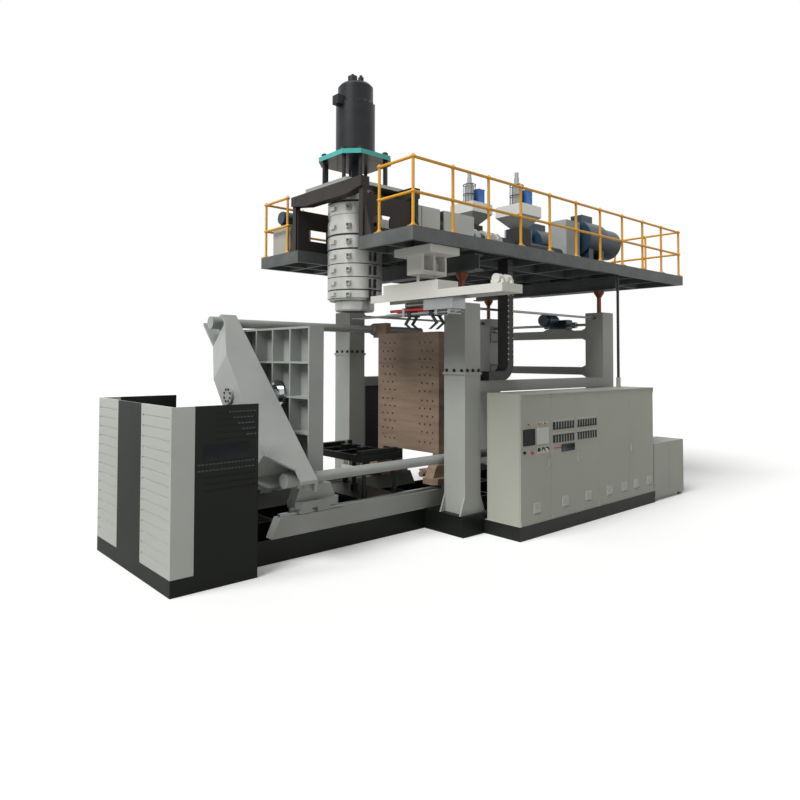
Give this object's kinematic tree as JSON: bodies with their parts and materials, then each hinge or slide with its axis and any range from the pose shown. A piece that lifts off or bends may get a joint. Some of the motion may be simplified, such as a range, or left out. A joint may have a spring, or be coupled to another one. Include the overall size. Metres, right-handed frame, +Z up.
{
  "type": "blow moulding machine",
  "caption": "Large accumulator-head blow moulding machine: floor clamp with moving platens, raised extruder deck on screw columns, take-out robot and a row of control cabinets.",
  "frame": {"origin": "on the floor, under the axis of the die head", "axes": "X along the platens' closing direction towards the extruder motors, Y away from the operator's cabinets, Z up"},
  "size_m": [10.944, 4.86, 7.161],
  "materials": {
    "base_paint": "semi-gloss black enamel",
    "column_paint": "satin grey enamel",
    "clamp_paint": "satin grey enamel",
    "ground_steel": "ground steel",
    "chromed_steel": "hard chromed and polished",
    "dark_steel": "dark satin paint",
    "motor_paint": "dark blue enamel",
    "cabinet_paint": "textured grey powder coat",
    "panel_silver": "silver grey powder coat",
    "deck_paint": "dark grey enamel",
    "rail_paint": "yellow gloss enamel",
    "screw_bronze": "copper brown grease paint",
    "head_steel": "turned steel",
    "band_steel": "bright sheet",
    "teal_paint": "teal enamel",
    "hopper_steel": "bright sheet",
    "loader_paint": "blue powder coat",
    "platen_face": "brown streaked primer",
    "black_plastic": "moulded black",
    "red_plastic": "moulded red",
    "instrument_black": "screens and meters",
    "robot_paint": "pale grey enamel",
    "gripper_black": "black enamel"
  },
  "bodies": {
    "frame": {"base_frame": "base_paint", "guide_beams": "column_paint", "linear_rails": "ground_steel", "front_columns": "column_paint", "side_cabinet": "cabinet_paint", "rear_portal": "column_paint", "side_beams": "column_paint", "screw_jacks": "clamp_paint", "lift_gearmotor": "motor_paint", "enclosure_frame": "base_paint", "enclosure_panels": "panel_silver", "control_cabinet": "cabinet_paint", "control_gear": "panel_silver", "rear_cabinet": "cabinet_paint"},
    "shaft_near": {"long_shaft_near": "ground_steel"},
    "shaft_far": {"long_shaft_far": "ground_steel"},
    "shaft_rear": {"rear_drive_shaft": "ground_steel"},
    "door_1": {"door_1": "cabinet_paint", "door_instruments": "instrument_black"},
    "door_2": {"door_2": "cabinet_paint"},
    "door_3": {"door_3": "cabinet_paint"},
    "door_4": {"door_4": "cabinet_paint"},
    "door_5": {"door_5": "cabinet_paint"},
    "stop_button": {"emergency_stop": "red_plastic"},
    "platform": {"deck": "deck_paint", "handrails": "rail_paint", "lift_screws": "screw_bronze", "die_head": "head_steel", "heater_bands": "band_steel", "head_frame": "base_paint", "head_columns": "ground_steel", "top_plate": "teal_paint", "main_cylinder": "clamp_paint", "valve_block": "dark_steel", "extruder_barrels": "dark_steel", "barrel_covers": "panel_silver", "gearboxes": "clamp_paint", "extruder_motors": "motor_paint", "hoppers": "hopper_steel", "loaders": "loader_paint", "hydraulic_tank": "cabinet_paint", "pump_motor": "motor_paint", "robot_bracket": "robot_paint", "drag_chain": "black_plastic"},
    "piston": {"accumulator_piston": "chromed_steel"},
    "core": {"core_pin": "chromed_steel"},
    "screw_near": {"extruder_screw_near": "ground_steel"},
    "screw_far": {"extruder_screw_far": "ground_steel"},
    "robot": {"robot_beam": "robot_paint"},
    "robot_carriage": {"robot_carriage": "ground_steel"},
    "jaw_outer": {"gripper_jaw_outer": "gripper_black"},
    "jaw_inner": {"gripper_jaw_inner": "gripper_black"},
    "clamp_carriage": {"crossbeam": "clamp_paint", "tie_bars": "chromed_steel", "right_platen": "platen_face"},
    "left_platen": {"left_platen": "clamp_paint", "ram_rod": "chromed_steel"},
    "ram_sleeve": {"ram_sleeve": "chromed_steel"},
    "lift_table": {"lift_table": "base_paint"},
    "blow_pins": {"blow_pins": "chromed_steel"}
  },
  "joints": [
    {"name": "door_1_hinge", "type": "hinge", "parent": "frame", "child": "door_1", "pos_m": [1.2335, -2.277, 1.14], "axis": [0, 0, -1], "range_deg": [0, 110]},
    {"name": "door_2_hinge", "type": "hinge", "parent": "frame", "child": "door_2", "pos_m": [1.9925, -2.277, 1.14], "axis": [0, 0, -1], "range_deg": [0, 110]},
    {"name": "door_3_hinge", "type": "hinge", "parent": "frame", "child": "door_3", "pos_m": [3.3485, -2.277, 1.14], "axis": [0, 0, 1], "range_deg": [0, 90]},
    {"name": "door_4_hinge", "type": "hinge", "parent": "frame", "child": "door_4", "pos_m": [3.3675, -2.277, 1.14], "axis": [0, 0, -1], "range_deg": [0, 90]},
    {"name": "door_5_hinge", "type": "hinge", "parent": "frame", "child": "door_5", "pos_m": [5.2235, -2.277, 1.14], "axis": [0, 0, 1], "range_deg": [0, 110]},
    {"name": "stop_press", "type": "slide", "parent": "door_1", "child": "stop_button", "axis": [0, 1, 0], "range_m": [0, 0.006], "stiffness_N_per_m": 2000},
    {"name": "platform_lift", "type": "slide", "parent": "frame", "child": "platform", "axis": [0, 0, 1], "range_m": [-0.2, 0.25], "deforming": ["drag_chain"]},
    {"name": "piston_stroke", "type": "slide", "parent": "platform", "child": "piston", "axis": [0, 0, 1], "range_m": [-0.85, 0]},
    {"name": "core_stroke", "type": "slide", "parent": "platform", "child": "core", "axis": [0, 0, 1], "range_m": [-0.03, 0.01]},
    {"name": "screw_near_spin", "type": "hinge", "parent": "platform", "child": "screw_near", "pos_m": [2.6, -0.575, 4.72], "axis": [1, 0, 0], "continuous": true},
    {"name": "screw_far_spin", "type": "hinge", "parent": "platform", "child": "screw_far", "pos_m": [2.6, 0.575, 4.72], "axis": [1, 0, 0], "continuous": true},
    {"name": "shaft_rear_spin", "type": "hinge", "parent": "frame", "child": "shaft_rear", "pos_m": [5, 0, 3.288], "axis": [0, 1, 0], "continuous": true},
    {"name": "shaft_near_spin", "type": "hinge", "parent": "frame", "child": "shaft_near", "pos_m": [3, -1.354, 3.4], "axis": [1, 0, 0], "continuous": true},
    {"name": "shaft_far_spin", "type": "hinge", "parent": "frame", "child": "shaft_far", "pos_m": [3, 1.354, 3.4], "axis": [1, 0, 0], "continuous": true},
    {"name": "robot_lift", "type": "slide", "parent": "platform", "child": "robot", "axis": [0, 0, 1], "range_m": [-0.15, 0.02]},
    {"name": "robot_traverse", "type": "slide", "parent": "robot", "child": "robot_carriage", "axis": [0, 1, 0], "range_m": [-0.85, 0]},
    {"name": "jaw_outer_slide", "type": "slide", "parent": "robot_carriage", "child": "jaw_outer", "axis": [0, 1, 0], "range_m": [0, 0.15]},
    {"name": "jaw_inner_slide", "type": "slide", "parent": "robot_carriage", "child": "jaw_inner", "axis": [0, -1, 0], "range_m": [0, 0.15]},
    {"name": "clamp_close", "type": "slide", "parent": "frame", "child": "clamp_carriage", "axis": [-1, 0, 0], "range_m": [0, 0.35]},
    {"name": "left_platen_close", "type": "slide", "parent": "frame", "child": "left_platen", "axis": [1, 0, 0], "range_m": [0, 0.35]},
    {"name": "ram_sleeve_slide", "type": "slide", "parent": "clamp_carriage", "child": "ram_sleeve", "axis": [1, 0, 0], "range_m": [0, 0.35]},
    {"name": "table_lift", "type": "slide", "parent": "frame", "child": "lift_table", "axis": [0, 0, 1], "range_m": [0, 0.3]},
    {"name": "blow_pin_lift", "type": "slide", "parent": "lift_table", "child": "blow_pins", "axis": [0, 0, 1], "range_m": [0, 0.14]}
  ],
  "couplings": [
    {"joint": "shaft_near_spin", "follows": "shaft_rear_spin", "ratio": 1},
    {"joint": "shaft_far_spin", "follows": "shaft_rear_spin", "ratio": 1},
    {"joint": "jaw_inner_slide", "follows": "jaw_outer_slide", "ratio": 1},
    {"joint": "left_platen_close", "follows": "clamp_close", "ratio": 1},
    {"joint": "ram_sleeve_slide", "follows": "clamp_close", "ratio": 1}
  ]
}
